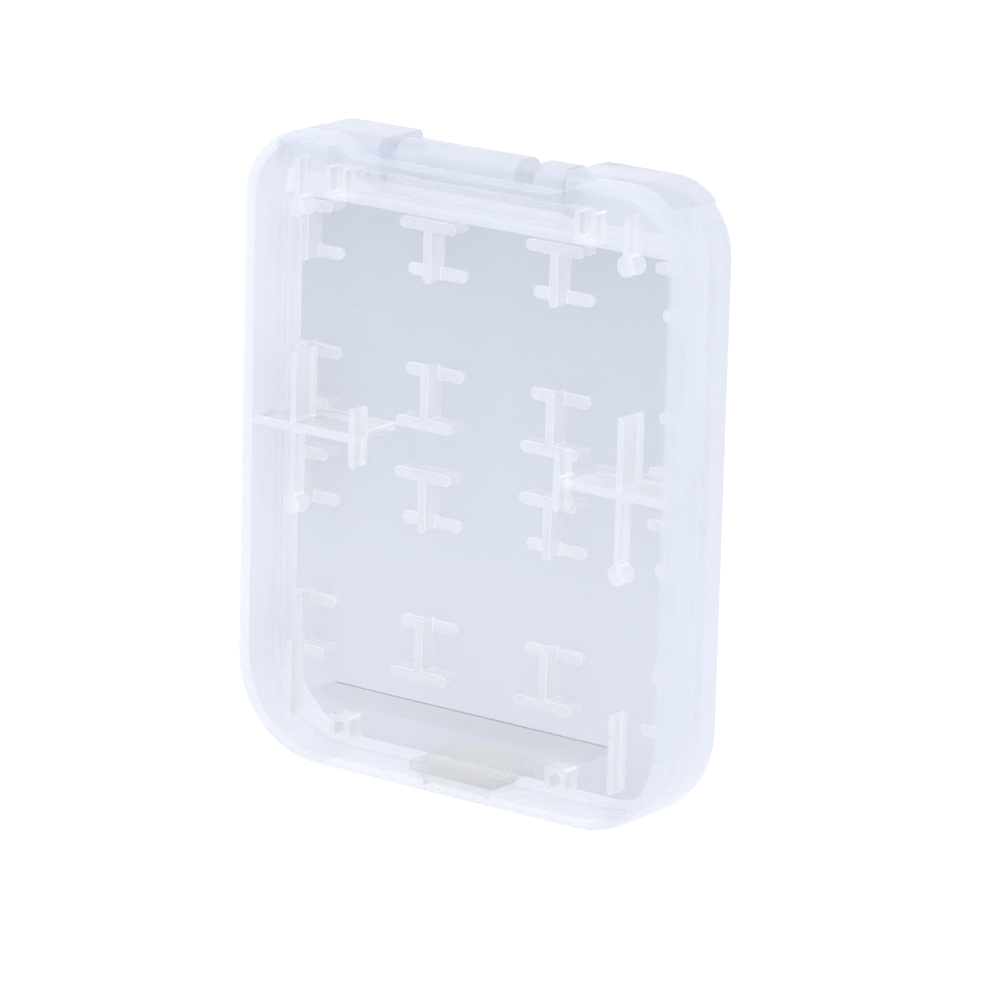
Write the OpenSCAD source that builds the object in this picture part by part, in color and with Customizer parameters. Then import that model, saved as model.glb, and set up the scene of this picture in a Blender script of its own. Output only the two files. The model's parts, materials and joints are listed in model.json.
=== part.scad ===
// Clamshell case that holds two full-size and six small memory cards.
// X runs across the width, Y from the front shell to the back shell, Z up.
// The origin is the middle of the face that the closed case stands on. Millimetres.

/* [Case] */
// Width across the case
case_w = 55; // [54:0.5:58]
// Height from the bottom edge to the hinge edge
case_h = 67; // [66:0.5:70]
// Depth of the front shell, which is the lid
front_d = 6.15; // [5.9:0.05:6.6]
// Depth of the back shell
back_d = 4.35; // [4.2:0.05:4.8]
// Thickness of the side walls
wall = 1.2; // [1:0.05:1.4]
// Thickness of the large front panel
front_panel = 1.2; // [1:0.05:1.4]
// Thickness of the large back panel
back_panel = 1.5; // [1.3:0.05:1.7]
// Radius of the two corners beside the hinge
top_r = 7.7; // [7.2:0.1:8.2]
// Radius of the two lower corners
bottom_r = 10.6; // [9:0.1:12]
// Rounding of the front edge
front_edge_r = 1.6; // [1:0.1:2]
// Rounding of the back edge
back_edge_r = 0.8; // [0.5:0.1:1.2]
// Gap between the rims of the closed shells
seam = 0.14; // [0.1:0.02:0.2]

/* [Rim lip] */
// Height of the lip that stands inside the lid's rim
lip_h = 0.9; // [0.6:0.05:1.2]
// Thickness of the lip
lip_t = 0.6; // [0.5:0.05:0.8]
// Distance of the lip's upper ends below the hinge axis
lip_drop = 8; // [7.5:0.1:10]
// Clearance between the lip and the lid's wall
lip_gap = 0.12; // [0.1:0.01:0.2]

/* [Hinge] */
// Distance of the hinge axis below the top edge
axis_drop = 2; // [2:0.05:2.2]
// Half width of the recess between the ears
recess_half = 11.8; // [11:0.1:13]
// Radius of the barrel round the axis
barrel_r = 1.9; // [1.7:0.05:1.9]
// Gap between each barrel end and its ear
barrel_end_gap = 1.2; // [0.8:0.1:1.6]
// Radius of the hinge pins
pin_r = 0.8; // [0.6:0.05:0.9]
// Running clearance between a pin and its bore
pin_gap = 0.06; // [0.03:0.01:0.1]
// Length of pin inside each bore
pin_seat = 1.2; // [0.8:0.1:1.4]
// Radius of the lid's cradle round the barrel
cradle_r = 2.95; // [2.9:0.05:3.1]
// Depth that each ear reaches in front of the axis
ear_front = 2.95; // [2.7:0.05:3.1]
// Depth of each ear below the axis
ear_drop = 2.6; // [2.2:0.1:2.8]
// Rounding of the ear's front upper edge
ear_round = 1; // [0.6:0.1:1.4]
// Thickness of the ear's end plate that holds the pin
ear_plate = 1.5; // [1.2:0.1:1.8]
// Length of the scoop beside the recess
scoop_run = 5.2; // [4:0.1:6]
// Height of the scooped edge above the hinge axis
scoop_rise = 0.1; // [0:0.05:0.3]
// Distance of the back panel's upper edge below the hinge axis
tongue_root_drop = 0.3; // [0.2:0.05:0.5]
// Distance of the tongue's foot below the hinge axis
tongue_foot_drop = 3.2; // [2.6:0.1:3.4]
// Depth of the finger slot's floor below the hinge axis
finger_slot_drop = 1; // [0.5:0.1:1.4]
// Left edge of the slot that frees the snap finger
finger_slot_x = 4.6; // [4:0.1:5]
// Width of that slot
finger_slot_w = 2.4; // [1.6:0.1:2.8]

/* [Small card posts] */
// Distance between neighbouring columns of posts
post_pitch = 16.12; // [15.9:0.02:16.4]
// Distance from the side walls to the webs of the outer posts
side_post_inset = 2.12; // [1.9:0.02:2.4]
// Distance of the two upper rows below the hinge axis
upper_rows = [9.73, 25.21];
// Distance of the two lower rows above the bottom edge
lower_rows = [28.85, 12.82];
// Length of a post along Z
post_len = 6.7; // [6:0.1:7]
// How far a post stands off the back panel
post_h = 2.35; // [2:0.05:2.5]
// Thickness of the web
post_web = 1; // [0.8:0.05:1.05]
// Length of the tall bar across the web
tall_bar_w = 7.2; // [6.6:0.1:7.6]
// Thickness of the tall bar
tall_bar_t = 1.2; // [1:0.05:1.4]
// Length of the low bar across the web
low_bar_w = 7.5; // [6.8:0.1:7.8]
// Thickness of the low bar
low_bar_t = 1.3; // [1:0.05:1.5]
// How far the low bar stands off the back panel
low_bar_h = 0.6; // [0.4:0.05:0.8]

/* [Full-size card guides] */
// Distance of the divider below the hinge axis
divider_drop = 29.3; // [28.8:0.1:30]
// Thickness of the divider
divider_t = 1; // [0.8:0.05:1.2]
// Clearance between the dividers and the back panel
divider_gap = 0.3; // [0.2:0.05:0.6]
// Height of the middle fences' upper halves off the front panel
fence_h = 3.5; // [3:0.05:3.5]
// Height of the short cross bars off the front panel
cross_h = 2.2; // [1.8:0.05:2.6]
// Distance of the cross bars from the middle
cross_x = 13.1; // [12.6:0.1:13.6]
// Length of the cross bars
cross_len = 6.4; // [5.8:0.1:7]
// Thickness of the bars
bar_t = 0.8; // [0.7:0.05:1]
// Distance of the fences from the side walls
fence_inset = 5.4; // [5:0.1:5.8]
// Height of the middle fences' lower halves off the front panel
fence_low_h = 1.7; // [1:0.1:2.2]
// Length of the middle fences
fence_len = 17.2; // [16:0.1:18]
// Length of the top fences
top_fence_len = 6.1; // [5.5:0.1:6.5]
// Distance of the top fences' upper ends below the hinge axis
top_fence_drop = 0.8; // [0.6:0.1:1.2]
// Length of the bottom fences
bottom_fence_len = 8.5; // [7.5:0.1:9]
// Distance of the bottom fences above the bottom edge
bottom_fence_z = 4.4; // [4.2:0.1:5]
// Radius of the knob on a fence's end
knob_r = 1.1; // [0.9:0.05:1.3]
// Distance of the upper stops from the middle
top_stop_x = 15.8; // [15.4:0.1:16.4]
// Distance of the upper stops' card side below the hinge axis
top_stop_drop = 4.6; // [4.2:0.1:5]
// Distance of the lower stops from the middle
bottom_stop_x = 14; // [13.5:0.1:14.5]
// Height of the lower stops' card side above the bottom edge
bottom_stop_z = 5.9; // [5.5:0.1:6.2]
// Length of the lower stops
bottom_stop_len = 2.5; // [2:0.1:3]
// Distance between the legs of a stop
stop_gap = 2; // [1.6:0.1:2.4]
// Thickness of a stop's legs
stop_t = 0.7; // [0.6:0.05:0.9]
// Height of the shelf's centre above the bottom edge
shelf_z = 7.6; // [7.2:0.1:8]
// Half length of the shelf
shelf_half = 17.8; // [16.5:0.1:18.2]
// How far the shelf stands off the front panel
shelf_h = 4.2; // [3:0.1:4.4]
// Thickness of the shelf
shelf_t = 0.8; // [0.6:0.05:1]

/* [Latch] */
// Width of the latch tab
tab_w = 11; // [9:0.5:12]
// Thickness of the tab at its edges
tab_t = 1.1; // [0.9:0.05:1.3]
// Rise of the tab's arched top in the middle
tab_crown = 1.3; // [0.8:0.1:1.6]
// How far the tab reaches in front of the hinge axis
tab_reach = 4.1; // [3.8:0.1:4.1]
// Clearance under the tab
tab_gap = 0.2; // [0.18:0.01:0.3]
// Width of the latch window in the lid's bottom wall
window_w = 8; // [6:0.5:9]
// Length of the latch window along Y
window_d = 1; // [0.8:0.1:1.4]

/* [Hidden] */

depth = front_d + back_d;
y_front = -depth / 2;
y_back = depth / 2;
y_seam = y_front + front_d;
y_lid_rim = y_seam - seam / 2;
y_base_rim = y_seam + seam / 2;
y_lid_floor = y_front + front_panel;
y_base_floor = y_back - back_panel;
half_w = case_w / 2;
inner_x = half_w - wall;

axis_z = case_h - axis_drop;
bore_r = pin_r + pin_gap;
barrel_half = recess_half - barrel_end_gap;

// The ears reach out to where the corner drops to the height of the axis
ear_half = half_w - top_r + sqrt(top_r * top_r - pow(top_r - axis_drop, 2));
ear_clear = 0.15;
lobe_r = back_d + 0.2;
trough_gap = 0.06;
trough_r = sqrt(pow(back_d, 2) + pow(axis_drop, 2)) + trough_gap;
trough_wall = 1.1;
tongue_side_gap = 0.3;
tongue_half = recess_half - tongue_side_gap;
tongue_root_z = axis_z - tongue_root_drop;
tongue_foot_z = axis_z - tongue_foot_drop;

lid_lip_z = axis_z + scoop_rise;
scoop_half = recess_half + scoop_run;
scoop_steps = 12;
cradle_wall = 1.15;

lip_top_z = axis_z - lip_drop;
// The outer part of the lip runs this far into the base's wall
lip_weld = 0.01;
// Clear space on each side of the latch tab where the lip is cut away
tab_side_gap = 0.5;
window_reach = 3.4;
window_y0 = y_seam - window_reach;

post_rows = [axis_z - upper_rows[0], axis_z - upper_rows[1], lower_rows[0], lower_rows[1]];
side_post_x = inner_x - side_post_inset;
low_bar_back = 0.5;
divider_z = axis_z - divider_drop;
fence_x = inner_x - fence_inset;
fence_shift = 0.6;
knob_set = 0.2;
// Past the lid's rim the dividers keep clear of the lip inside it
lip_clear = 0.1;
lid_side_x = inner_x - 2 * lip_gap - lip_t - lip_clear;
// Nothing on the front panel under the ears stands higher than their front faces
under_ear_h = y_seam - ear_front - y_lid_floor;
base_cavity_top = axis_z - trough_r - trough_wall;

solid_fn = 40;
round_fn = 48;
small_fn = 24;
over = 1;

shell_colour = [0.88, 0.90, 0.96, 0.45];
guide_colour = [0.93, 0.94, 0.98, 0.6];

// Extrudes a drawing made in X and Z from y0 to y1
module along_y(y0, y1) {
    translate([0, y1, 0]) rotate([90, 0, 0]) linear_extrude(y1 - y0) children();
}

// Extrudes a drawing made in Y and Z from x0 to x1
module along_x(x0, x1) {
    translate([x0, 0, 0]) rotate([90, 0, 90]) linear_extrude(x1 - x0) children();
}

module both_sides() {
    children();
    mirror([1, 0, 0]) children();
}

// Front view of the case, drawn in by inset on every side
module outline(inset = 0) {
    w = half_w - inset;
    rt = top_r - inset;
    rb = bottom_r - inset;
    translate([-w, inset + rb]) square([2 * w, case_h - 2 * inset - rt - rb]);
    translate([-w + rb, inset]) square([2 * (w - rb), rb + over]);
    translate([-w + rt, case_h - inset - rt - over]) square([2 * (w - rt), rt + over]);
    for (side = [-1, 1]) {
        translate([side * (w - rb), inset + rb]) circle(rb, $fn = round_fn * 2);
        translate([side * (w - rt), case_h - inset - rt]) circle(rt, $fn = round_fn * 2);
    }
}

// One rounded corner of a shell: a disc whose face edge is rounded by e
module shell_corner(r, e, d) {
    steps = 6;
    arc = [for (i = [0 : steps]) [r - e + e * sin(90 * i / steps), e - e * cos(90 * i / steps)]];
    rotate([-90, 0, 0]) rotate_extrude($fn = solid_fn)
        polygon(concat([[0, 0]], arc, [[r, d], [0, d]]));
}

// Solid block of one shell, with its face at y = 0 and its rim at y = d
module shell_block(d, e) {
    hull() for (side = [-1, 1]) {
        translate([side * (half_w - bottom_r), 0, bottom_r]) shell_corner(bottom_r, e, d);
        translate([side * (half_w - top_r), 0, case_h - top_r]) shell_corner(top_r, e, d);
    }
}

// A straight bar with round ends, drawn from z0 to z1
module bar_shape(z0, z1, t) {
    translate([-t / 2, z0 + t / 2]) square([t, z1 - z0 - t]);
    for (z = [z0 + t / 2, z1 - t / 2]) translate([0, z]) circle(t / 2, $fn = small_fn);
}

// Round rod along the hinge axis
module axis_rod(r, x0, x1) {
    translate([x0, y_seam, axis_z]) rotate([0, 90, 0]) cylinder(r = r, h = x1 - x0, $fn = round_fn * 2);
}

// Height of the scooped top edge in front of the ears at distance x from the middle
function scoop_z(x) = x <= recess_half ? lid_lip_z
    : lid_lip_z + (case_h - lid_lip_z) * (1 - cos(180 * (x - recess_half) / (scoop_half - recess_half))) / 2;

// Region above the scooped edge, one side
module scoop_shape() {
    pts = [for (i = [0 : scoop_steps])
        let (x = recess_half + (scoop_half - recess_half) * i / scoop_steps) [x, scoop_z(x)]];
    polygon(concat([[-over, lid_lip_z]], pts, [[scoop_half, case_h + over], [-over, case_h + over]]));
}

module lid_cavity() {
    difference() {
        along_y(y_lid_floor, y_seam + over) outline(wall);
        // ceiling under the scooped edge
        translate([-scoop_half, y_front, lid_lip_z - wall])
            cube([2 * scoop_half, front_d + 2 * over, case_h]);
        // cradle wall
        axis_rod(cradle_r + cradle_wall, -recess_half - wall, recess_half + wall);
    }
}

// The lid: front panel, walls, cradle round the barrel and scooped edge
module front_shell() {
    color(shell_colour) difference() {
        translate([0, y_front, 0]) shell_block(y_lid_rim - y_front, front_edge_r);
        lid_cavity();
        axis_rod(cradle_r, -recess_half, recess_half);
        translate([-recess_half, y_seam - cradle_r, axis_z])
            cube([2 * recess_half, depth, axis_drop + over]);
        both_sides() along_y(y_front - over, y_seam - ear_front) scoop_shape();
        both_sides() translate([recess_half, y_seam - ear_front, axis_z - ear_drop])
            cube([ear_half - recess_half, depth, axis_drop + ear_drop + over]);
        translate([-window_w / 2, window_y0, -over]) cube([window_w, window_d, wall + 2 * over]);
    }
}

// Side view of an ear: square front with a rounded edge, round lobe at the back
module ear_section() {
    intersection() {
        union() {
            translate([y_seam - ear_front, axis_z - ear_drop])
                square([ear_front + back_d, ear_drop + axis_drop - ear_round]);
            translate([y_seam - ear_front + ear_round, axis_z])
                square([ear_front + back_d - ear_round, axis_drop]);
            translate([y_seam - ear_front + ear_round, case_h - ear_round])
                circle(ear_round, $fn = small_fn * 2);
        }
        union() {
            translate([y_seam, axis_z]) circle(lobe_r, $fn = round_fn * 2);
            translate([y_seam - 2 * ear_front, axis_z - 2 * ear_drop])
                square([2 * ear_front, 4 * ear_drop]);
        }
    }
}

// Hollow of an ear, open below
module ear_hollow_section() {
    intersection() {
        translate([y_seam - ear_front + wall, axis_z - ear_drop - over])
            square([ear_front + back_d - 2 * wall, ear_drop + axis_drop - wall + over]);
        union() {
            translate([y_seam, axis_z]) circle(lobe_r - wall, $fn = round_fn * 2);
            translate([y_seam - 2 * ear_front, axis_z - 2 * ear_drop])
                square([2 * ear_front, 4 * ear_drop]);
        }
    }
}

module hinge_ear() {
    color(guide_colour) difference() {
        intersection() {
            along_x(recess_half, ear_half) ear_section();
            along_y(y_front, y_back) outline();
        }
        intersection() {
            along_x(recess_half + ear_plate, ear_half - wall) ear_hollow_section();
            along_y(y_front, y_back) outline(wall);
        }
        axis_rod(bore_r, recess_half - over, recess_half + ear_plate + over);
    }
}

module hinge_ear_left() { mirror([1, 0, 0]) hinge_ear(); }

module hinge_ear_right() { hinge_ear(); }

// The lip that stands inside the lid's rim, along both sides and the bottom
module rim_lip() {
    difference() {
        union() {
            along_y(y_base_rim - lip_h, y_base_rim + lip_h) outline(wall + lip_gap);
            along_y(y_base_rim + lip_gap, y_base_rim + lip_h) outline(wall - lip_weld);
        }
        along_y(y_front, y_back + over) outline(wall + lip_gap + lip_t);
        translate([-case_w, y_front, lip_top_z]) cube([2 * case_w, depth, case_h]);
        translate([-tab_w / 2 - tab_side_gap, y_front, 0])
            cube([tab_w + 2 * tab_side_gap, y_base_rim - y_front, bottom_r]);
    }
}

// The base: back panel, walls, rim lip and the trough under the ears
module back_shell() {
    color(shell_colour) {
        difference() {
            translate([0, y_back, 0]) mirror([0, 1, 0]) shell_block(y_back - y_base_rim, back_edge_r);
            intersection() {
                along_y(y_front, y_base_floor) outline(wall);
                translate([-case_w, y_front, 0]) cube([2 * case_w, depth, base_cavity_top]);
            }
            both_sides() axis_rod(trough_r, tongue_half, ear_half + ear_clear);
            difference() {
                axis_rod(trough_r, -tongue_half - over, tongue_half + over);
                translate([-tongue_half, y_base_floor, 0]) cube([2 * tongue_half, depth, tongue_root_z]);
            }
            translate([-tongue_half, y_front, tongue_root_z]) cube([2 * tongue_half, depth, case_h]);
        }
        rim_lip();
    }
}

// Side view of the tongue: a hooked plate that carries the barrel
module tongue_section() {
    root_y = y_base_floor - barrel_r;
    translate([y_seam, axis_z]) circle(barrel_r, $fn = round_fn);
    translate([root_y, axis_z]) circle(barrel_r, $fn = round_fn);
    translate([y_seam, axis_z - barrel_r]) square([root_y - y_seam, 2 * barrel_r]);
    translate([y_base_floor - wall, tongue_foot_z]) square([wall, axis_z - tongue_foot_z]);
}

module hinge_tongue() {
    color(guide_colour) {
        difference() {
            along_x(-barrel_half, barrel_half) tongue_section();
            translate([finger_slot_x, y_seam - 2 * barrel_r, axis_z - finger_slot_drop])
                cube([finger_slot_w, depth, 2 * barrel_r + finger_slot_drop]);
        }
        both_sides() axis_rod(pin_r, barrel_half, recess_half + pin_seat);
    }
}

// One post: a web with a tall bar at one end and a low bar at the other
module post(tall_side) {
    tall_z = tall_side * (post_len - tall_bar_t) / 2;
    low_z = -tall_side * (post_len - low_bar_t - low_bar_back) / 2;
    along_y(y_base_floor - post_h, y_base_floor) {
        translate([-post_web / 2, -post_len / 2 + post_web / 2]) square([post_web, post_len - post_web]);
        translate([0, -tall_side * (post_len - post_web) / 2]) circle(post_web / 2, $fn = small_fn);
        translate([-(tall_bar_w - tall_bar_t) / 2, tall_z - tall_bar_t / 2])
            square([tall_bar_w - tall_bar_t, tall_bar_t]);
        for (side = [-1, 1]) translate([side * (tall_bar_w - tall_bar_t) / 2, tall_z])
            circle(tall_bar_t / 2, $fn = small_fn);
    }
    along_y(y_base_floor - low_bar_h, y_base_floor) {
        translate([-(low_bar_w - low_bar_t) / 2, low_z - low_bar_t / 2])
            square([low_bar_w - low_bar_t, low_bar_t]);
        for (side = [-1, 1]) translate([side * (low_bar_w - low_bar_t) / 2, low_z])
            circle(low_bar_t / 2, $fn = small_fn);
    }
}

// Rows alternate: the tall bar is on top in the first and third rows
module post_column(x) {
    for (i = [0 : len(post_rows) - 1])
        translate([x, 0, post_rows[i]]) post(i % 2 == 0 ? 1 : -1);
}

module microsd_posts() {
    color(guide_colour) for (side = [-1, 1]) post_column(side * post_pitch / 2);
}

// The outer columns grow out of the side walls
module side_posts() {
    color(guide_colour) difference() {
        intersection() {
            union() {
                for (side = [-1, 1]) {
                    post_column(side * side_post_x);
                    for (i = [0 : len(post_rows) - 1]) side_post_root(side, i);
                }
            }
            along_y(y_front, y_base_floor) outline(wall);
        }
        rim_lip();
    }
}

// Carries the bars of an outer post on to the wall
module side_post_root(side, i) {
    s = i % 2 == 0 ? 1 : -1;
    x0 = side_post_x;
    x1 = half_w;
    tall_z = post_rows[i] + s * (post_len - tall_bar_t) / 2;
    low_z = post_rows[i] - s * (post_len - low_bar_t - low_bar_back) / 2;
    mirror([side < 0 ? 1 : 0, 0, 0]) {
        translate([x0, y_base_floor - post_h, tall_z - tall_bar_t / 2]) cube([x1 - x0, post_h, tall_bar_t]);
        translate([x0, y_base_floor - low_bar_h, low_z - low_bar_t / 2])
            cube([x1 - x0, low_bar_h, low_bar_t]);
    }
}

// A bar that stands on the front panel
module lid_bar(x, z0, z1, t, h) {
    along_y(y_lid_floor, y_lid_floor + h) translate([x, 0]) bar_shape(z0, z1, t);
}

// Full-depth plate from the side wall inwards, with a cross bar on its inner end
module sd_divider() {
    color(guide_colour) {
        along_y(y_lid_floor, y_base_floor - divider_gap)
            translate([cross_x, divider_z - divider_t / 2]) square([lid_side_x - cross_x, divider_t]);
        along_y(y_lid_floor, y_lid_floor + cross_h)
            translate([cross_x, 0]) bar_shape(divider_z - cross_len / 2, divider_z + cross_len / 2, bar_t);
        along_y(y_lid_floor, y_lid_rim - lip_h)
            translate([cross_x, divider_z - divider_t / 2]) square([inner_x - cross_x, divider_t]);
    }
}

module sd_divider_left() { mirror([1, 0, 0]) sd_divider(); }

module sd_divider_right() { sd_divider(); }

// Fences along both sides, in three lengths, with a knob on the lower end of the upper two
module sd_fences() {
    mid0 = divider_z - fence_shift - fence_len / 2;
    mid1 = mid0 + fence_len;
    top1 = axis_z - top_fence_drop;
    color(guide_colour) both_sides() {
        along_y(y_lid_floor, y_lid_floor + fence_h) intersection() {
            translate([fence_x, 0]) bar_shape(mid0, mid1, bar_t);
            translate([0, divider_z + divider_t / 2]) square([case_w, fence_len]);
        }
        along_y(y_lid_floor, y_lid_floor + fence_low_h) intersection() {
            knobbed_bar(mid0, mid1);
            square([case_w, divider_z - divider_t / 2]);
        }
        along_y(y_lid_floor, y_lid_floor + under_ear_h) knobbed_bar(top1 - top_fence_len, top1);
        lid_bar(fence_x, bottom_fence_z, bottom_fence_z + bottom_fence_len, bar_t, cross_h);
    }
}

// Fence from z0 to z1 with a round knob on its lower end
module knobbed_bar(z0, z1) {
    translate([fence_x, 0]) bar_shape(z0, z1, bar_t);
    translate([fence_x, z0 + knob_r - knob_set]) circle(knob_r, $fn = small_fn);
}

// U-shaped stop: two legs joined by a cross piece, from z0 to z1, open at the far end
module sd_stop(x, z0, z1, cross_z, h) {
    along_y(y_lid_floor, y_lid_floor + h) {
        for (side = [-1, 1])
            translate([x + side * stop_gap / 2 - stop_t / 2, z0]) square([stop_t, z1 - z0]);
        translate([x - stop_gap / 2, cross_z]) square([stop_gap, stop_t]);
    }
}

module sd_stops_top() {
    z0 = axis_z - top_stop_drop;
    color(guide_colour) both_sides() sd_stop(top_stop_x, z0, lid_lip_z - wall, z0, under_ear_h);
}

module sd_stops_bottom() {
    z0 = bottom_stop_z - bottom_stop_len;
    color(guide_colour) both_sides()
        sd_stop(bottom_stop_x, z0, bottom_stop_z, bottom_stop_z - stop_t, cross_h);
}

// Low shelf under the lower card, between the lower corners
module sd_shelf() {
    color(guide_colour) translate([-shelf_half, y_lid_floor, shelf_z - shelf_t / 2])
        cube([2 * shelf_half, shelf_h, shelf_t]);
}

// Latch tab on the base that slides in over the lid's bottom wall
module latch_tab() {
    tab_z = wall + tab_gap;
    crown_r = (pow(tab_w / 2, 2) + pow(tab_crown, 2)) / (2 * tab_crown);
    color(guide_colour) difference() {
        along_y(y_seam - tab_reach, y_base_floor) intersection() {
            union() {
                translate([-tab_w / 2, tab_z]) square([tab_w, tab_t]);
                translate([0, tab_z + tab_t + tab_crown - crown_r]) circle(crown_r, $fn = round_fn * 4);
            }
            translate([-tab_w / 2, tab_z]) square([tab_w, tab_t + tab_crown + over]);
        }
        rim_lip();
    }
}

back_shell();
front_shell();
hinge_tongue();
hinge_ear_left();
hinge_ear_right();
microsd_posts();
side_posts();
sd_divider_left();
sd_divider_right();
sd_fences();
sd_stops_top();
sd_stops_bottom();
sd_shelf();
latch_tab();
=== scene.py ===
import json
import math

import bmesh
import bpy
from mathutils import Matrix, Vector

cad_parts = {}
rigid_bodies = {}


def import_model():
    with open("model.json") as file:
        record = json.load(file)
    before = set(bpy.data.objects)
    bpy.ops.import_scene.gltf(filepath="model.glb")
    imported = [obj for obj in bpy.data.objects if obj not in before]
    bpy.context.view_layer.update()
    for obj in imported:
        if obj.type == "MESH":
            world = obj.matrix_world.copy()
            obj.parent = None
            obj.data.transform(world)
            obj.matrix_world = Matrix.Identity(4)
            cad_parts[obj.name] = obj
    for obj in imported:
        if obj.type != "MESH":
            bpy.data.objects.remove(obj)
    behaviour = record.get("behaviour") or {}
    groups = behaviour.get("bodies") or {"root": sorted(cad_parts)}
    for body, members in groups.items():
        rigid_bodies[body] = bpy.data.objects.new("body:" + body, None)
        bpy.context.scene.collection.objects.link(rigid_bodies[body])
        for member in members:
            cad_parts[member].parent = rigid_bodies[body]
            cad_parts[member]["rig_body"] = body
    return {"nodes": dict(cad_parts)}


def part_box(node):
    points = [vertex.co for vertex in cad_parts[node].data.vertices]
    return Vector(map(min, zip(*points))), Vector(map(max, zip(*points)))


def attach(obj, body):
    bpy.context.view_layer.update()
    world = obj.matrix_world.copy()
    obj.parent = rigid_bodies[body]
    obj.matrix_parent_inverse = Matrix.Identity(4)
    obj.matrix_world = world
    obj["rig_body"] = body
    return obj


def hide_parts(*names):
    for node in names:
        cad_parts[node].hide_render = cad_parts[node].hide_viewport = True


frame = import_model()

scene = bpy.context.scene
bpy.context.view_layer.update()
mm = 0.001

# camera
photoView = {
    "azimuth": 36.731,  # degrees, camera to the right of the front
    "elevation": 14.567,
    "roll": 1.470,
    "offset": (-2.433, 2.661, 620.437),  # mm: aim point from the case's centre, then the distance
    "centreHeight": 33.5,
    "focalPixels": 6069.83,
    "framePixels": 1000,
    "sensor": 36,
    "clip": (0.01, 20),  # metres
}


def makeCamera(v):
    az, el, roll = (math.radians(v[k]) for k in ("azimuth", "elevation", "roll"))
    back = Vector((math.sin(az) * math.cos(el), -math.cos(az) * math.cos(el), math.sin(el)))
    right = (-back).cross(Vector((0, 0, 1))).normalized()
    up = right.cross(-back)
    r = right * math.cos(roll) + up * math.sin(roll)
    u = up * math.cos(roll) - right * math.sin(roll)
    x, y, z = v["offset"]
    place = -(r * x + u * y - back * z) + Vector((0, 0, v["centreHeight"]))
    data = bpy.data.cameras.new("photoCamera")
    data.sensor_width = v["sensor"]
    data.lens = v["focalPixels"] / v["framePixels"] * v["sensor"]
    data.clip_start, data.clip_end = v["clip"]
    cam = bpy.data.objects.new("photoCamera", data)
    scene.collection.objects.link(cam)
    turn = Matrix((r, u, back)).transposed().to_4x4()
    cam.matrix_world = Matrix.Translation(place * mm) @ turn
    scene.camera = cam


makeCamera(photoView)
print("camera set")


# small helpers for node trees
def socket(group, name, kind, way, value=None):
    s = group.interface.new_socket(name, in_out=way, socket_type=kind)
    if value is not None:
        s.default_value = value


def link(tree, a, b):
    tree.links.new(a, b)


def calc(tree, kind, *values):
    node = tree.nodes.new("ShaderNodeMath")
    node.operation = kind
    for k, value in enumerate(values):
        if isinstance(value, (int, float)):
            node.inputs[k].default_value = value
        else:
            link(tree, value, node.inputs[k])
    return node.outputs[0]


def ramp(tree, value, fromMin, fromMax, toMin, toMax):
    node = tree.nodes.new("ShaderNodeMapRange")
    for name, v in (("From Min", fromMin), ("From Max", fromMax), ("To Min", toMin), ("To Max", toMax)):
        node.inputs[name].default_value = v
    link(tree, value, node.inputs["Value"])
    return node.outputs[0]


def mix(tree, factor, first, second, kind="FLOAT"):
    node = tree.nodes.new("ShaderNodeMix")
    node.data_type = kind
    a, b, out = (6, 7, 2) if kind == "RGBA" else (2, 3, 0)
    link(tree, factor, node.inputs["Factor"])
    link(tree, first, node.inputs[a])
    link(tree, second, node.inputs[b])
    return node.outputs[out]


# frost of the mould: uneven gloss and fine waves
frostGrain = {
    "cloudScale": 60,  # broad patches
    "cloudDetail": 3,
    "grainScale": 900,  # fine grain
    "grainDetail": 2,
    "cloudSpan": (0.35, 0.65),  # noise values that give the lowest and the highest roughness
    "waveShare": 0.3,  # how much of the height comes from the patches
}


def frostGroup(v):
    g = bpy.data.node_groups.new("mouldedFrost", "ShaderNodeTree")
    socket(g, "Vector", "NodeSocketVector", "INPUT")
    socket(g, "Frost scale", "NodeSocketFloat", "INPUT", v["grainScale"])
    socket(g, "Roughness low", "NodeSocketFloat", "INPUT", 0.12)
    socket(g, "Roughness high", "NodeSocketFloat", "INPUT", 0.3)
    socket(g, "Wave height", "NodeSocketFloat", "INPUT", v["waveShare"])
    socket(g, "Roughness", "NodeSocketFloat", "OUTPUT")
    socket(g, "Height", "NodeSocketFloat", "OUTPUT")
    n = g.nodes
    i, o = n.new("NodeGroupInput"), n.new("NodeGroupOutput")
    cloud = n.new("ShaderNodeTexNoise")
    cloud.inputs["Scale"].default_value = v["cloudScale"]
    cloud.inputs["Detail"].default_value = v["cloudDetail"]
    grain = n.new("ShaderNodeTexNoise")
    grain.inputs["Detail"].default_value = v["grainDetail"]
    spread = n.new("ShaderNodeMapRange")
    spread.inputs["From Min"].default_value = v["cloudSpan"][0]
    spread.inputs["From Max"].default_value = v["cloudSpan"][1]
    link(g, i.outputs["Vector"], cloud.inputs["Vector"])
    link(g, i.outputs["Vector"], grain.inputs["Vector"])
    link(g, i.outputs["Frost scale"], grain.inputs["Scale"])
    link(g, cloud.outputs["Fac"], spread.inputs["Value"])
    link(g, i.outputs["Roughness low"], spread.inputs["To Min"])
    link(g, i.outputs["Roughness high"], spread.inputs["To Max"])
    link(g, spread.outputs["Result"], o.inputs["Roughness"])
    height = mix(g, i.outputs["Wave height"], grain.outputs["Fac"], cloud.outputs["Fac"])
    link(g, height, o.inputs["Height"])
    return g


mouldedFrost = frostGroup(frostGrain)

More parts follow.
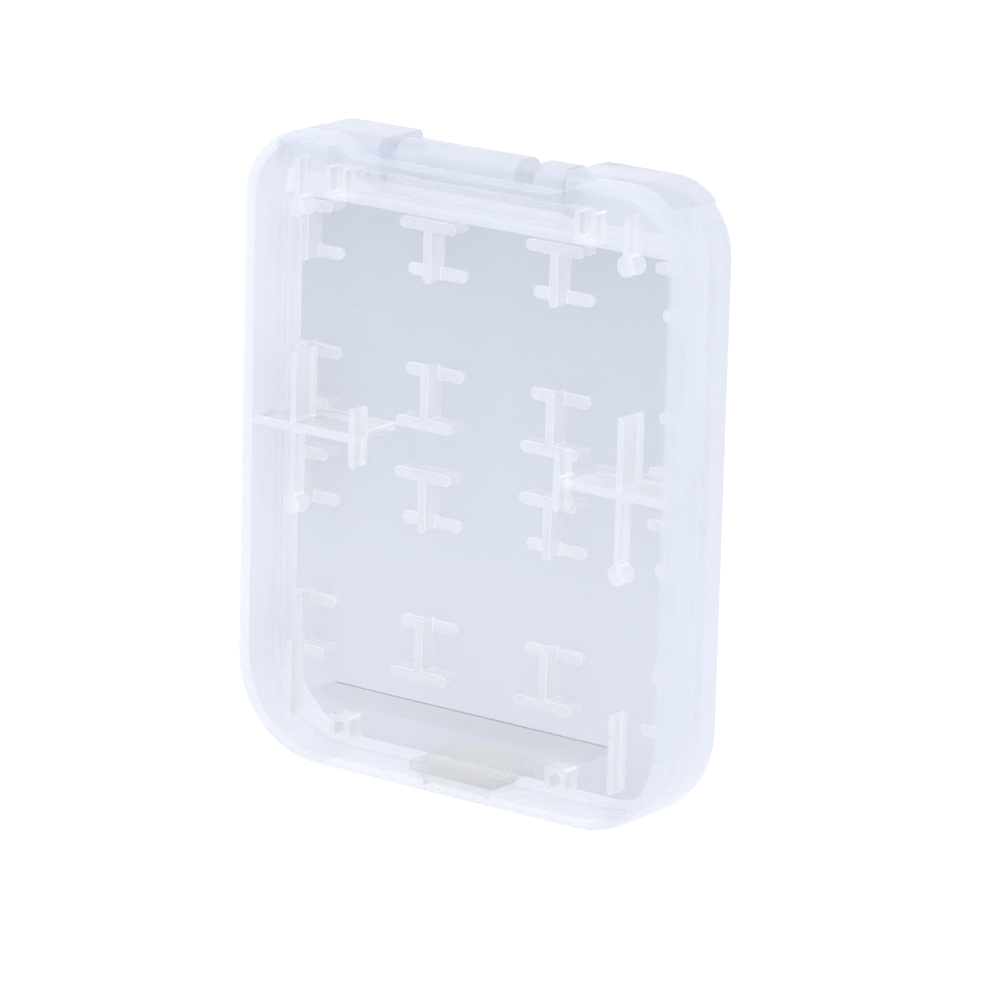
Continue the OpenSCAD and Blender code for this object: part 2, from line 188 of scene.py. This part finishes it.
# colour and density by facing and height: thin panels are clear, walls seen along their length are
# milky; the back panel's darker colour beside its walls is painted shade, and the change with height is
# painted light
wallMask = {
    "panelFrom": 0.97,  # how squarely a face looks along the depth, from which it is all panel
    "wallBelow": 0.6,  # and below which it is all wall
    "rearFrom": 0.5,  # faces that look to the back
    "seam": 0.9,  # mm: depth of the parting plane
    "rimReach": 1.4,  # mm: how far the rims lie from it; they count as walls
    "paintedShadeTop": 60,  # mm: height at which the panel's painted shade is strongest and its painted floor light weakest
    "footReach": 13,  # mm: below this the walls turn lighter and milkier towards the latch edge; the lighter colour is painted light lifting the shade at the bottom
}
flowLines = {  # streaks of the moulding, along Z
    "across": 420.0,
    "along": 14.0,
    "detail": 2,
    "span": (0.35, 0.65),  # noise values that give the thinnest and the densest streak
    "density": (0.94, 1.05),
}


def wallGroup(v, flow):
    g = bpy.data.node_groups.new("panelOrWall", "ShaderNodeTree")
    for name in ("Normal", "Vector"):
        socket(g, name, "NodeSocketVector", "INPUT")
    for name in ("Panel low", "Panel high", "Wall", "Foot"):
        socket(g, name, "NodeSocketColor", "INPUT")
    for name in ("Panel alpha", "Rear alpha", "Wall alpha", "Foot density"):
        socket(g, name, "NodeSocketFloat", "INPUT")
    socket(g, "Color", "NodeSocketColor", "OUTPUT")
    socket(g, "Alpha", "NodeSocketFloat", "OUTPUT")
    n = g.nodes
    i, o = n.new("NodeGroupInput"), n.new("NodeGroupOutput")
    parts = n.new("ShaderNodeSeparateXYZ")
    place = n.new("ShaderNodeSeparateXYZ")
    link(g, i.outputs["Normal"], parts.inputs[0])
    link(g, i.outputs["Vector"], place.inputs[0])
    facing = parts.outputs["Y"]
    slope = ramp(g, calc(g, "ABSOLUTE", facing), v["panelFrom"], v["wallBelow"], 0, 1)
    fromSeam = calc(g, "ABSOLUTE", calc(g, "SUBTRACT", place.outputs["Y"], v["seam"] * mm))
    rim = calc(g, "LESS_THAN", fromSeam, v["rimReach"] * mm)
    wall = calc(g, "MAXIMUM", slope, rim)
    rear = calc(g, "GREATER_THAN", facing, v["rearFrom"])
    # foot: walls painted lighter and made denser near the latch edge, painted light against the shade
    # at the bottom
    foot = ramp(g, place.outputs["Z"], 0, v["footReach"] * mm, 1, 0)

    # panels painted darker with height: painted light from the floor low down, painted shade towards
    # the hinge
    paintedShade = ramp(g, place.outputs["Z"], 0, v["paintedShadeTop"] * mm, 0, 1)
    panel = mix(g, paintedShade, i.outputs["Panel low"], i.outputs["Panel high"], "RGBA")
    wallColour = mix(g, foot, i.outputs["Wall"], i.outputs["Foot"], "RGBA")
    # faces looking along the depth take the panel colour; on the back shell its darker colour is
    # painted shade for less light on faces that look front and back
    link(g, mix(g, calc(g, "MAXIMUM", wall, rear), panel, wallColour, "RGBA"), o.inputs["Color"])

    stretch = n.new("ShaderNodeVectorMath")
    stretch.operation = "MULTIPLY"
    stretch.inputs[1].default_value = (flow["across"], flow["across"], flow["along"])
    streak = n.new("ShaderNodeTexNoise")
    streak.inputs["Scale"].default_value = 1
    streak.inputs["Detail"].default_value = flow["detail"]
    link(g, i.outputs["Vector"], stretch.inputs[0])
    link(g, stretch.outputs[0], streak.inputs["Vector"])
    streaks = ramp(g, streak.outputs["Fac"], *flow["span"], *flow["density"])
    atFoot = calc(g, "MULTIPLY", i.outputs["Wall alpha"], i.outputs["Foot density"])
    wallAlpha = calc(g, "MULTIPLY", mix(g, foot, i.outputs["Wall alpha"], atFoot), streaks)
    flatAlpha = mix(g, rear, i.outputs["Panel alpha"], i.outputs["Rear alpha"])
    link(g, mix(g, wall, flatAlpha, wallAlpha), o.inputs["Alpha"])
    return g


panelOrWall = wallGroup(wallMask, flowLines)


# plastics: layers of density without refraction
def oneTone(colour, alpha, wallAlpha, ior, roughness):
    return {
        "panelLow": colour, "panelHigh": colour, "wall": colour, "foot": colour,
        "panelAlpha": alpha, "rearAlpha": alpha, "wallAlpha": wallAlpha, "footDensity": 1.0,
        "ior": ior, "roughness": roughness, "bump": 0.03,
    }


looks = {
    "clearLidPlastic": {
        "panelLow": (0.92, 0.94, 0.985),  # colours at the latch edge and at the hinge: the lighter low colour is painted floor light, the darker high one painted shade
        "panelHigh": (0.86, 0.89, 0.965),
        "wall": (0.80, 0.83, 0.935),
        "foot": (0.86, 0.885, 0.965),
        "panelAlpha": 0.14,
        "rearAlpha": 0.14,
        "wallAlpha": 0.62,
        "footDensity": 1.3,
        "ior": 1.4,
        "roughness": (0.14, 0.26),
        "bump": 0.0004,
    },
    "clearBackPlastic": {
        # back panel painted lighter at the latch edge and darker at the hinge: painted floor light and
        # painted shade
        "panelLow": (0.56, 0.61, 0.73),
        "panelHigh": (0.26, 0.31, 0.44),
        "wall": (0.80, 0.83, 0.935),
        "foot": (0.86, 0.885, 0.965),
        "panelAlpha": 0.47,
        "rearAlpha": 0.12,
        "wallAlpha": 0.62,
        "footDensity": 1.3,
        "ior": 1.4,
        "roughness": (0.14, 0.26),
        "bump": 0.0004,
    },
    "clearGuidePlastic": oneTone((0.84, 0.86, 0.94), 0.56, 0.5, 1.45, (0.12, 0.25)),
    # white rims on bevelled edges: painted highlights
    "paintedHighlightRims": oneTone((1.0, 1.0, 1.0), 0.92, 0.92, 1.45, (0.1, 0.2)),
    "milkyHingePlastic": oneTone((0.70, 0.73, 0.83), 0.68, 0.68, 1.4, (0.12, 0.25)),
    "clearShelfPlastic": oneTone((0.94, 0.95, 1.0), 0.1, 0.05, 1.45, (0.2, 0.3)),
    # dark line on the shelf's free upper edge: painted shade
    "shelfEdgePaintedShade": oneTone((0.25, 0.28, 0.35), 0.8, 0.8, 1.45, (0.2, 0.3)),
    "tintedTabPlastic": oneTone((0.90, 0.885, 0.86), 0.3, 0.3, 1.45, (0.1, 0.2)),
}
throughLight = 0.92  # share of the density that the light inside the case passes
bumpDepth = 0.1  # mm


def plastic(name, look):
    m = bpy.data.materials.new(name)
    m.use_nodes = True
    t = m.node_tree
    b = t.nodes["Principled BSDF"]
    c = t.nodes.new("ShaderNodeTexCoord")
    f = t.nodes.new("ShaderNodeGroup")
    f.node_tree = mouldedFrost
    f.inputs["Roughness low"].default_value = look["roughness"][0]
    f.inputs["Roughness high"].default_value = look["roughness"][1]
    w = t.nodes.new("ShaderNodeGroup")
    w.node_tree = panelOrWall
    colours = {"Panel low": "panelLow", "Panel high": "panelHigh", "Wall": "wall", "Foot": "foot"}
    for field, key in colours.items():
        w.inputs[field].default_value = (*look[key], 1)
    densities = {"Panel alpha": "panelAlpha", "Rear alpha": "rearAlpha",
                 "Wall alpha": "wallAlpha", "Foot density": "footDensity"}
    for field, key in densities.items():
        w.inputs[field].default_value = look[key]
    bump = t.nodes.new("ShaderNodeBump")
    bump.inputs["Strength"].default_value = look["bump"]
    bump.inputs["Distance"].default_value = bumpDepth * mm
    link(t, c.outputs["Object"], f.inputs["Vector"])
    link(t, c.outputs["Object"], w.inputs["Vector"])
    link(t, c.outputs["Normal"], w.inputs["Normal"])
    link(t, w.outputs["Color"], b.inputs["Base Color"])
    path = t.nodes.new("ShaderNodeLightPath")
    lighting = calc(t, "MAXIMUM", path.outputs["Is Shadow Ray"], path.outputs["Is Diffuse Ray"])
    thinned = calc(t, "MULTIPLY_ADD", lighting, -throughLight, 1)
    link(t, calc(t, "MULTIPLY", thinned, w.outputs["Alpha"]), b.inputs["Alpha"])
    link(t, f.outputs["Roughness"], b.inputs["Roughness"])
    link(t, f.outputs["Height"], bump.inputs["Height"])
    link(t, bump.outputs["Normal"], b.inputs["Normal"])
    b.inputs["IOR"].default_value = look["ior"]
    return m


plastics = {name: plastic(name, look) for name, look in looks.items()}
shellLooks = {"front_shell": "clearLidPlastic", "back_shell": "clearBackPlastic"}
for name, node in frame["nodes"].items():
    node.data.materials.clear()
    node.data.materials.append(plastics[shellLooks.get(name, "clearGuidePlastic")])
print("plastics made")

# ribs, posts and hinge pieces with softened edges; the bevelled edges of ribs and posts are painted
# white as painted highlights
backFloor = 3.75  # mm: depth of each shell's inner face, where a rib's edge stays sharp
lidFloor = -4.05
noFloor = 99
softEdges = {
    "width": 0.27,  # mm
    "hingeWidth": 0.6,
    "segments": 2,
    "hingeSegments": 4,
    "sharpFrom": 28,  # degrees
    "smoothBelow": 40,
    "flatWithin": 1,
    "weld": 0.002,  # mm
    "onFloor": 0.02,
    "pieces": {  # new piece: CAD node, depth of the face it is moulded to
        "smallCardPosts": ("microsd_posts", backFloor),
        "sidePosts": ("side_posts", backFloor),
        "leftDivider": ("sd_divider_left", lidFloor),
        "rightDivider": ("sd_divider_right", lidFloor),
        "cardFences": ("sd_fences", lidFloor),
        "upperStops": ("sd_stops_top", lidFloor),
        "lowerStops": ("sd_stops_bottom", lidFloor),
        "cardShelf": ("sd_shelf", lidFloor),
        "hingeTongue": ("hinge_tongue", backFloor),
        "leftEar": ("hinge_ear_left", noFloor),
        "rightEar": ("hinge_ear_right", noFloor),
        "latchTab": ("latch_tab", backFloor),
    },
}


def softenedCopy(name, body="clearGuidePlastic", rims="paintedHighlightRims", chosen=None, wide=False):
    look = softEdges
    node, floorDepth = look["pieces"][name]
    source = frame["nodes"][node]
    m = bmesh.new()
    m.from_mesh(source.data)
    bmesh.ops.remove_doubles(m, verts=m.verts, dist=look["weld"] * mm)
    flat = math.radians(look["flatWithin"])
    bmesh.ops.dissolve_limit(m, angle_limit=flat, verts=m.verts, edges=m.edges)
    sharp = []
    for e in m.edges:
        seated = all(abs(v.co.y - floorDepth * mm) < look["onFloor"] * mm for v in e.verts)
        if seated or len(e.link_faces) != 2 or e.calc_face_angle(0) < math.radians(look["sharpFrom"]):
            continue
        if chosen is None or chosen(e):
            sharp.append(e)
    width = look["hingeWidth" if wide else "width"] * mm
    segments = look["hingeSegments" if wide else "segments"]
    made = bmesh.ops.bevel(m, geom=sharp, offset=width, offset_type="OFFSET", segments=segments,
                           profile=0.5, affect="EDGES", clamp_overlap=True, material=-1)
    for f in made["faces"]:
        f.material_index = 1
    for f in m.faces:
        f.smooth = True
    data = bpy.data.meshes.new(name)
    m.to_mesh(data)
    m.free()
    data.set_sharp_from_angle(angle=math.radians(look["smoothBelow"]))
    data.materials.append(plastics[body])
    data.materials.append(plastics[rims])
    piece = bpy.data.objects.new(name, data)
    scene.collection.objects.link(piece)
    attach(piece, source["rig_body"])
    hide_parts(node)


def freeUpperEdge(e):
    low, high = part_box("sd_shelf")
    near = 0.1 * mm
    return all(v.co.y > high[1] - near and v.co.z > high[2] - near for v in e.verts)


for name in softEdges["pieces"]:
    if name == "latchTab":
        softenedCopy(name, "tintedTabPlastic", "tintedTabPlastic")
    elif name == "cardShelf":
        # the shelf's free upper edge gets a painted shade line
        softenedCopy(name, "clearShelfPlastic", "shelfEdgePaintedShade", freeUpperEdge)
    elif name in ("hingeTongue", "leftEar", "rightEar"):
        softenedCopy(name, "milkyHingePlastic", "milkyHingePlastic", wide=True)
    else:
        softenedCopy(name)
print("ribs and posts softened")

# floor and light
studio = {
    "floorSize": 3.0,
    "floorColour": (0.93, 0.93, 0.94),
    "floorRoughness": 0.8,
    "floorGloss": 0.1,
    "floorGlow": 0.2,
    "worldColour": (0.97, 0.98, 1.0),
    "worldStrength": 0.95,
    "worldSeen": 1.04,  # strength for seen rays, which makes the background white
    "lampAim": (0, 0, 0.03),
    "lamps": [  # name, place, size, watts
        ("keyPanel", (0.7, -0.5, 0.9), 0.7, 1.0),
        ("fillPanel", (-0.8, -0.7, 0.5), 0.8, 2.2),
        ("backPanel", (0.1, 0.9, 0.8), 0.8, 0.5),
    ],
}


def seenRays(tree):
    path = tree.nodes.new("ShaderNodeLightPath")
    mirrored = calc(tree, "MAXIMUM", path.outputs["Is Camera Ray"], path.outputs["Is Glossy Ray"])
    return calc(tree, "MAXIMUM", mirrored, path.outputs["Is Transmission Ray"])


def makeFloor(s):
    m = bmesh.new()
    bmesh.ops.create_grid(m, x_segments=1, y_segments=1, size=s["floorSize"])
    data = bpy.data.meshes.new("floor")
    m.to_mesh(data)
    m.free()
    floor = bpy.data.objects.new("floor", data)
    scene.collection.objects.link(floor)
    mat = bpy.data.materials.new("paleFloor")
    mat.use_nodes = True
    t = mat.node_tree
    b = t.nodes["Principled BSDF"]
    b.inputs["Base Color"].default_value = (*s["floorColour"], 1)
    b.inputs["Roughness"].default_value = s["floorRoughness"]
    b.inputs["Specular IOR Level"].default_value = s["floorGloss"]
    b.inputs["Emission Color"].default_value = (1, 1, 1, 1)
    link(t, calc(t, "MULTIPLY", seenRays(t), s["floorGlow"]), b.inputs["Emission Strength"])
    data.materials.append(mat)


def makeLight(s):
    world = bpy.data.worlds.new("studio")
    scene.world = world
    world.use_nodes = True
    t = world.node_tree
    bg = t.nodes["Background"]
    bg.inputs["Color"].default_value = (*s["worldColour"], 1)
    link(t, ramp(t, seenRays(t), 0, 1, s["worldStrength"], s["worldSeen"]), bg.inputs["Strength"])
    for name, place, size, watts in s["lamps"]:
        light = bpy.data.lights.new(name, "AREA")
        light.size = size
        light.energy = watts
        lamp = bpy.data.objects.new(name, light)
        lamp.location = place
        lamp.rotation_euler = (Vector(s["lampAim"]) - Vector(place)).to_track_quat("-Z", "Y").to_euler()
        scene.collection.objects.link(lamp)


makeFloor(studio)
makeLight(studio)
scene.view_settings.view_transform = "Standard"
print("studio set")
